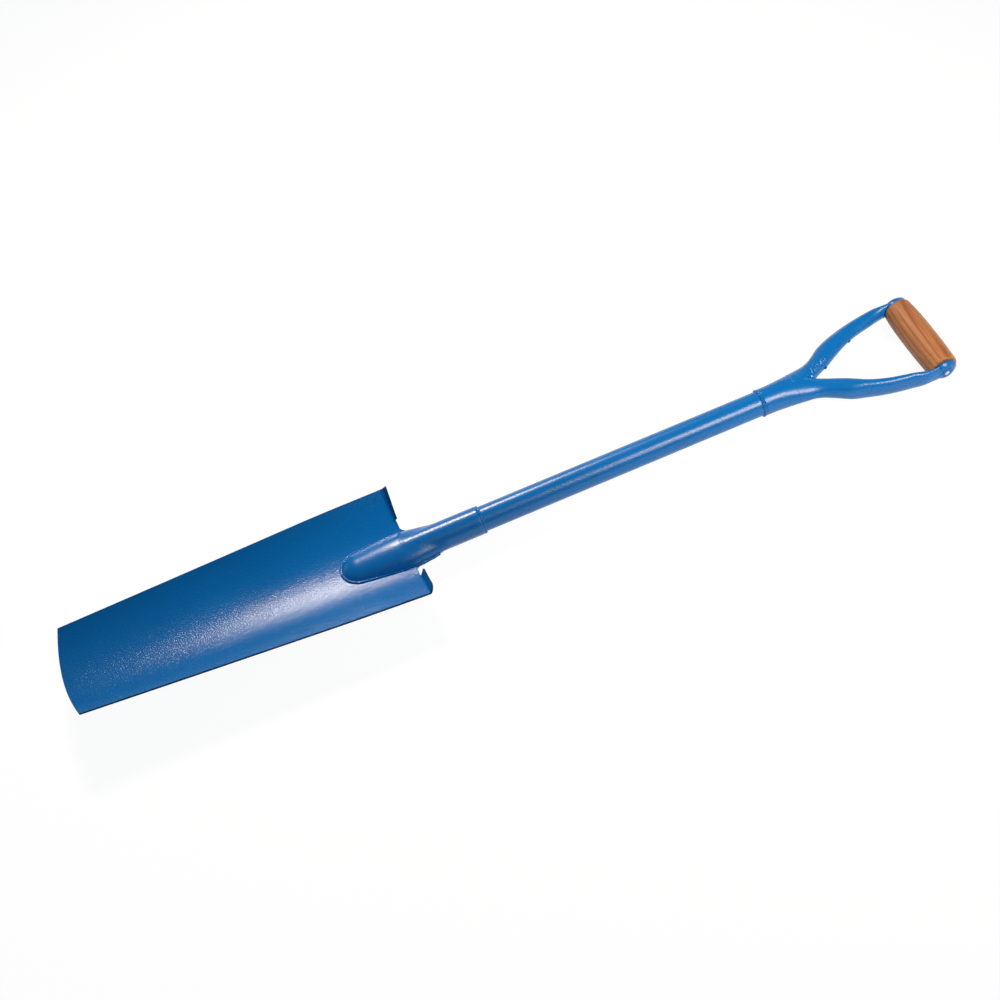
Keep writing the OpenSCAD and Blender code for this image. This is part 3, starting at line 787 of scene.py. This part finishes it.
def make_arm(name, side):
    """One arm and its eye: ovals along the arm's line, and the domed eye set on the end.

    Before the crotch an oval ends at the middle of the stem. Towards the eye the inner edge is drawn out to
    the eye's face. Only the left arm has the seam of weld."""
    t = np.concatenate([np.linspace(0, 0.45, 170)[:-1], np.linspace(0.45, 1, 130)])
    path = arm_line(t, side)
    wide, high, lean, across = arm_sizes(t, path, side)
    flat = ease(*ARM_JOINS_IN, t)
    inner = mix(path[:, 1] - wide, EYE_INS[side] + EYE_LAP, flat)
    end = EYE_IN + EYE_RIM_T + ARM_JOIN_H * EYE_DOME
    outer = mix(path[:, 1] + wide, end, ease(*ARM_JOINS_OUT, t))
    path[:, 1] = np.where(flat > 0, (inner + outer) / 2, path[:, 1])
    wide = np.where(flat > 0, (outer - inner) / 2, wide)
    up = np.repeat([[0.0, 0.0, 1.0]], len(t), 0)
    tube = sweep(path, across, up, wide + ARM_PROUD, high + ARM_PROUD, 96, lean)
    if side == 1:
        tube = add_seam(tube, path, t)
    tube[..., 1] = np.maximum(tube[..., 1], ARM_APART)
    path[:, 1] = np.maximum(path[:, 1], ARM_CORE_APART)
    ends = [np.repeat(path[k][None, None], tube.shape[1], 1) for k in (0, -1)]
    tube = np.concatenate([ends[0], tube, ends[1]])
    flip = np.array([1, side, 1])
    return piece(name, [tube * flip, eye_grid(EYE_INS[side], *EYE_HALVES[side]) * flip])


def make_crotch_weld():
    """The lump of weld in the crotch: a ball, a little flattened, its radius wavering over both angles."""
    lat = np.linspace(0, math.pi, 61)[:, None]
    lon = np.linspace(0, TAU, 121)[None, :]
    across = 0.10 * np.sin(5 * lon + 2) + 0.06 * np.sin(11 * lon + 7 * lat)
    across = across + 0.05 * np.sin(19 * lon + 15 * lat)
    waver = across * np.sin(lat) ** 2 + 0.07 * np.sin(9 * lat + 1) * np.sin(lat)
    radius = CROTCH_R * (1 + waver)
    x = FORK_X - CROTCH_BACK + radius * np.cos(lat) * CROTCH_FORM[0] + 0 * lon
    y = radius * np.sin(lat) * np.cos(lon) * CROTCH_FORM[1]
    z = radius * np.sin(lat) * np.sin(lon) * CROTCH_FORM[2]
    ball = np.stack([x, y, z], -1)
    ball[:, -1] = ball[:, 0]
    return piece("crotch_weld_lump", [ball])


def make_tacks():
    """Two drops of weld on the inner edge of the left arm: flattened balls with a wavering skin."""
    steps = 200
    t = np.linspace(0, 1, steps + 1)
    path = arm_line(t, 1)
    wide = arm_sizes(t, path, 1)[0]
    picks = [int(round(share * steps)) for share in TACK_SHARES]
    way = directions(path)[picks]
    inward = np.stack([way[:, 1], -way[:, 0], 0 * way[:, 0]], -1)
    places = path[picks] + inward * wide[picks, None]
    lat = np.linspace(0, math.pi, 25)[:, None]
    lon = np.linspace(0, TAU, 49)[None, :]
    grids = []
    for k in range(len(picks)):
        radius = TACK_R * (1 + TACK_WAVER * np.sin(4 * lon + k) * np.sin(lat) ** 2)
        along = TACK_FORM[0] * np.sin(lat) * np.cos(lon)
        proud = TACK_FORM[1] * np.cos(lat) + 0 * lon
        ball = radius[..., None] * np.stack([along, proud, np.sin(lat) * np.sin(lon)], -1)
        ball[:, -1] = ball[:, 0]
        turned = ball[..., :1] * way[k] + ball[..., 1:2] * inward[k] + ball[..., 2:] * np.array([0, 0, 1])
        grids.append(places[k] + turned)
    return piece("arm_tack_drops", grids)


# Grip


def make_grip():
    """The turned grip: a barrel whose radius falls off with a power of the distance, eased at its ends."""
    half = GRIP_LEN / 2
    left_end = half - GRIP_SHORT
    y = np.linspace(-half + GRIP_ROUND, left_end - GRIP_ROUND, 110)
    ends = np.where(y > 0, GRIP_END_RS[1], GRIP_END_RS[-1])
    radius = GRIP_MID_R - (GRIP_MID_R - ends) * np.abs(y / half) ** GRIP_FALL
    low, high = radius[0] - GRIP_ROUND, radius[-1] - GRIP_ROUND
    right = arc((-half + GRIP_ROUND, low), GRIP_ROUND, 180, 90)[:-1]
    left = arc((left_end - GRIP_ROUND, high), GRIP_ROUND, 90, 0)[1:]
    body = np.stack([y, radius], -1)
    bore = RIVET_R + RIVET_ROOM
    start, end = [[-half, bore]], [[left_end, bore]]
    return piece("grip_wood", [revolve(np.concatenate([start, right, body, left, end, start]), "y", 160)])


def make_rivet():
    """The rivet: a plain shank with a head in each eye's recess, domed by a power of the radius."""
    seat = EYE_IN + EYE_RIM_T + EYE_DOME - EYE_RECESS
    r = np.linspace(1, 0, 16) * RIVET_HEAD_R
    dome = 1 - (r / RIVET_HEAD_R) ** RIVET_HEAD_FALL
    crown = seat + RIVET_HEAD_RIM + (RIVET_HEAD_H - RIVET_HEAD_RIM) * dome
    head = np.stack([crown, r], -1)
    half = np.concatenate([[[seat, RIVET_R]], [[seat, RIVET_HEAD_R]], head])
    profile = np.concatenate([half[::-1] * [-1, 1], half])
    return piece("rivet_pin", [revolve(profile, "y", 72)])


# Materials


class Wire:
    """A socket in a shader, so that sums and products of sockets add their Math nodes."""

    def __init__(self, tree, socket):
        self.tree = tree
        self.socket = socket

    def _math(self, operation, a, b):
        return self.tree.node("ShaderNodeMath", {"operation": operation}, {0: a, 1: b})

    def __add__(self, other):
        return self._math("ADD", self, other)

    def __radd__(self, other):
        return self._math("ADD", other, self)

    def __sub__(self, other):
        return self._math("SUBTRACT", self, other)

    def __rsub__(self, other):
        return self._math("SUBTRACT", other, self)

    def __mul__(self, other):
        return self._math("MULTIPLY", self, other)

    def __rmul__(self, other):
        return self._math("MULTIPLY", other, self)


class Finish:
    """A material under construction: a Principled shader, and nodes that feed it."""

    def __init__(self, name):
        self.material = bpy.data.materials.new(name)
        self.material.use_nodes = True
        self.nodes = self.material.node_tree.nodes
        self.links = self.material.node_tree.links
        self.shader = self.nodes["Principled BSDF"]

    def node(self, kind, settings=None, inputs=None, output=0):
        """A node of a kind, with its settings set first and then the values or links of its sockets."""
        made = self.nodes.new(kind)
        for key, value in (settings or {}).items():
            if key == "stops":
                self._stops(made.color_ramp, value)
            else:
                setattr(made, key, value)
        for key, value in (inputs or {}).items():
            self.plug(made.inputs[key], value)
        return Wire(self, made.outputs[output])

    def _stops(self, ramp, stops):
        """Sets a ramp's stops, each a place with a grey level or a colour."""
        while len(ramp.elements) < len(stops):
            ramp.elements.new(0.5)
        for element, (place, value) in zip(ramp.elements, stops):
            element.position = place
            element.color = (value, value, value, 1) if isinstance(value, (int, float)) else (*value, 1)

    def plug(self, socket, value):
        """Links a wire to a socket, or sets the socket to a plain value."""
        if isinstance(value, Wire):
            self.links.new(value.socket, socket)
        else:
            socket.default_value = value

    def coordinates(self, scale=(1, 1, 1), shift=(0, 0, 0)):
        """Places in the object's own frame, in metres, scaled and then shifted."""
        place = self.node("ShaderNodeTexCoord", output=3)
        return self.node("ShaderNodeMapping", None, {0: place, 1: shift, 3: scale})

    def axis_distance(self, place):
        """Distance of a place from the Y axis: the root of the sum of the squares of its X and Z."""
        parts = self.node("ShaderNodeSeparateXYZ", None, {0: place}).socket.node.outputs
        x, z = Wire(self, parts[0]), Wire(self, parts[2])
        return self.node("ShaderNodeMath", {"operation": "SQRT"}, {0: x * x + z * z})

    def noise(self, vector, scale, detail=2.0, roughness=0.5):
        return self.node("ShaderNodeTexNoise", None, {
            "Vector": vector, "Scale": scale, "Detail": detail, "Roughness": roughness})

    def ramp(self, factor, stops):
        return self.node("ShaderNodeValToRGB", {"stops": stops}, {0: factor})

    def blend(self, factor, a, b, kind="MIX"):
        settings = {"data_type": "RGBA", "blend_type": kind}
        return self.node("ShaderNodeMix", settings, {0: factor, 6: a, 7: b}, 2)

    def bump(self, height, strength, distance):
        inputs = {"Height": height, "Strength": strength, "Distance": distance}
        return self.node("ShaderNodeBump", None, inputs)

    def set(self, **values):
        """Sets or links inputs of the shader, named with _ for blanks, and gives the material."""
        for key, value in values.items():
            self.plug(self.shader.inputs[key.replace("_", " ")], value)
        return self.material


def blue_paint(name, grain=1.0, gloss=0.0, shine=0.35):
    """Glossy blue paint with a fine hammered skin: small soft dimples, cloudy colour and uneven gloss."""
    f = Finish(name)
    place = f.coordinates()
    clouds = f.noise(place, PAINT_CLOUDS, 3, 0.55)
    dimples = f.noise(place, PAINT_DIMPLES, 1.0, 0.5)
    tone = f.ramp(clouds, [(0.3, PAINT_DEEP), (0.7, PAINT_BRIGHT)])
    dark = f.ramp(dimples, [(0.35, 0.9), (0.62, 1.0)])
    colour = f.blend(1.0, tone, dark, "MULTIPLY")
    normal = f.bump(dimples, PAINT_BUMP * grain, PAINT_BUMP_H)
    low, high = (dull - gloss for dull in PAINT_DULL)
    dull = f.ramp(f.noise(place, PAINT_PATCHES), [(0.3, low), (0.8, high)])
    return f.set(Base_Color=colour, Roughness=dull, Normal=normal, IOR=1.5, Specular_IOR_Level=shine)


def painted_shade_edge():
    """The sheet's edge in painted shade: dark blues, mottled at random, that stand in for the shade along
    it.
    """
    f = Finish("edge_painted_shade")
    place = f.coordinates()
    shade_mottle = f.ramp(f.noise(place, EDGE_SHADE_MOTTLE, 4, 0.6), [(0.42, 0.0), (0.7, 1.0)])
    colour = f.blend(shade_mottle, EDGE_SHADE_DEEP, EDGE_SHADE_PALE)
    normal = f.bump(f.noise(place, EDGE_GRAIN), 0.3, 0.3 * MM)
    return f.set(Base_Color=colour, Roughness=EDGE_DULL, Normal=normal, Specular_IOR_Level=EDGE_SHINE)


def varnished_wood():
    """Hardwood under varnish: growth rings round a far pith, wandering with the grain, and long pores.

    A ring's colour goes by the fraction of the distance from the pith, times the rings to the metre."""
    f = Finish("varnished_wood")
    pith = (-(RIM.x + GRIP_X) + PITH_X, 0.0, -(RIM.z - GRIP_DROP) + PITH_Z)
    long_place = f.coordinates(scale=ALONG_GRAIN, shift=pith)
    warp = f.noise(long_place, WOOD_WAVES, 2, 0.4)
    radius = f.axis_distance(f.coordinates(shift=pith))
    rings = f.node("ShaderNodeMath", {"operation": "FRACT"}, {0: radius * WOOD_RINGS + warp * WOOD_WARP})
    bands = f.ramp(rings, [(0.0, WOOD_MID), (0.5, WOOD_LIGHT), (0.85, WOOD_LATE), (1.0, WOOD_MID)])
    pores = f.noise(f.coordinates(scale=ALONG_PORES, shift=pith), WOOD_PORES, 2, 0.6)
    streak = f.ramp(pores, [(0.4, 0.8), (0.6, 1.0)])
    cloud = f.ramp(f.noise(long_place, WOOD_CLOUDS, 1), [(0.35, WOOD_SHADE), (0.62, (1.0, 1.0, 1.0))])
    colour = f.blend(1.0, f.blend(1.0, bands, streak, "MULTIPLY"), cloud, "MULTIPLY")
    gloss = f.ramp(pores, [(0.4, 0.52), (0.6, 0.44)])
    normal = f.bump(pores, 0.12, 0.2 * MM)
    return f.set(Base_Color=colour, Roughness=gloss, Normal=normal, Specular_IOR_Level=WOOD_SHINE,
                 Coat_Weight=VARNISH, Coat_Roughness=VARNISH_DULL)


def bare_steel():
    """The rivet: steel that the hammer left bright in the middle of its heads, and painted round it."""
    f = Finish("bare_steel")
    place = f.coordinates(shift=(-(RIM.x + GRIP_X), 0, -(RIM.z - GRIP_DROP)))
    dents = f.noise(place, STEEL_DENTS, 3, 0.6)
    radius = f.axis_distance(place)
    painted = f.ramp(radius * (1 / RIVET_HEAD_R) + dents * 0.5, [(0.72, 0.0), (0.84, 1.0)])
    metal = f.ramp(f.noise(place, STEEL_PATCHES, 3), [(0.35, STEEL_DARK), (0.7, STEEL_LIGHT)])
    colour = f.blend(painted, metal, (*PAINT_DEEP, 1))
    rough = f.ramp(dents, [(0.3, 0.18), (0.7, 0.36)])
    normal = f.bump(dents, 0.4, 0.4 * MM)
    return f.set(Base_Color=colour, Roughness=rough, Metallic=1.0 - painted, Normal=normal)


# Assembly


def dress(obj, body, nodes, slot, *materials):
    """Gives a piece its materials and the body that it rides on, and hides the solids it replaces. The slot
    is not used.
    """
    for material in materials:
        obj.data.materials.append(material)
    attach(obj, body)
    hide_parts(*nodes)


paint = blue_paint("hammer_paint")
tube_paint = blue_paint("tube_paint", grain=0.55, gloss=-0.07, shine=0.5)
weld_paint = blue_paint("weld_paint", grain=0.2, gloss=0.11)
steel_pieces = [
    # The blade's second material is the painted shade along its edges
    (make_blade(), "blade", paint, painted_shade_edge()),
    (make_socket(), "socket", tube_paint),
    (make_foot_weld("thumb_bead", THUMB_LEN, 1, 3), "thumb_weld", weld_paint),
    (make_foot_weld("heel_bead", HEEL_LEN, -1, 5), "heel_weld", weld_paint),
    (make_shaft(), "shaft", tube_paint),
    (make_ring_weld("socket_rim_bead", *SOCKET_RING, 1), "socket_rim_weld", weld_paint),
    (make_stem(), "hilt_stem", tube_paint),
    (make_ring_weld("hilt_rim_bead", *HILT_RING, 2), "hilt_rim_weld", weld_paint),
    (make_arm("left_arm_skin", 1), "left_arm", tube_paint),
    (make_arm("right_arm_skin", -1), "right_arm", tube_paint),
    (make_crotch_weld(), "crotch_weld", weld_paint),
    (make_tacks(), "arm_tacks", weld_paint),
]
for obj, node, *materials in steel_pieces:
    dress(obj, "spade", [node], "blue_paint", *materials)
dress(make_rivet(), "spade", ["grip_rivet"], "bare_steel", bare_steel())
dress(make_grip(), "grip", ["grip"], "wood", varnished_wood())

# Studio


def make_floor():
    """A wide plain floor under the spade: lit like white card, and whiter to the eye than to the light.

    Far out it sweeps up as a backdrop, with the square of the distance beyond the flat."""
    line = np.linspace(-FLOOR_REACH, FLOOR_REACH, FLOOR_POINTS)
    x, y = np.meshgrid(line, line, indexing="ij")
    beyond = np.clip(np.hypot(x, y) - FLOOR_FLAT, 0, None)
    points = np.stack([x, y, FLOOR_SWEEP * beyond**2], -1).reshape(-1, 3)
    mesh = bpy.data.meshes.new("floor")
    mesh.from_pydata(points.tolist(), [], grid_faces(FLOOR_POINTS, FLOOR_POINTS).tolist())
    shade_smooth(mesh)
    floor = add_object("floor", mesh)
    f = Finish("pale_floor")
    seen = f.node("ShaderNodeLightPath").socket.node.outputs
    camera, glossy, passing = (Wire(f, seen[name]) for name in (
        "Is Camera Ray", "Is Glossy Ray", "Is Transmission Ray"))
    clamped = {"operation": "ADD", "use_clamp": True}
    shown = f.node("ShaderNodeMath", clamped, {0: camera + glossy, 1: passing})
    card = f.node("ShaderNodeBsdfDiffuse", None, {"Color": FLOOR_CARD})
    white = f.node("ShaderNodeEmission", None, {"Color": (1, 1, 1, 1), "Strength": FLOOR_GLOW})
    joined = f.node("ShaderNodeMixShader", None, {0: shown * FLOOR_SHOWN, 1: card, 2: white})
    f.links.new(joined.socket, f.nodes["Material Output"].inputs["Surface"])
    mesh.materials.append(f.material)


def make_lamp(name, place, target, size, power, spread):
    """A soft box: a rectangular lamp at a place, turned to face a target."""
    data = bpy.data.lights.new(name, "AREA")
    data.shape = "RECTANGLE"
    data.size, data.size_y = size
    data.energy = power
    data.spread = math.radians(spread)
    data.color = LAMP_COLOUR
    lamp = add_object(name, data)
    lamp.location = place
    lamp.rotation_euler = (Vector(target) - Vector(place)).to_track_quat("-Z", "Y").to_euler()


def make_camera():
    """The photograph's camera, fitted to the spade's outline, placed from the socket's rim."""
    data = bpy.data.cameras.new("camera")
    data.sensor_width = CAMERA_SENSOR
    data.lens = CAMERA_LENS
    data.clip_end = CAMERA_FAR
    camera = add_object("camera", data)
    up = CAMERA_BACK.cross(CAMERA_RIGHT)
    turn = Matrix((CAMERA_RIGHT, up, CAMERA_BACK)).transposed().to_4x4()
    camera.matrix_world = Matrix.Translation(RIM + CAMERA_PLACE) @ turn
    bpy.context.scene.camera = camera


def make_world():
    """A dim, even, bluish light from all sides."""
    world = bpy.data.worlds.new("studio")
    world.use_nodes = True
    world.node_tree.nodes["Background"].inputs[0].default_value = WORLD_COLOUR
    world.node_tree.nodes["Background"].inputs[1].default_value = WORLD_LEVEL
    bpy.context.scene.world = world


make_floor()
for name, lamp in LAMPS.items():
    make_lamp(name, **lamp)
make_camera()
make_world()
bpy.context.scene.view_settings.view_transform = "Standard"
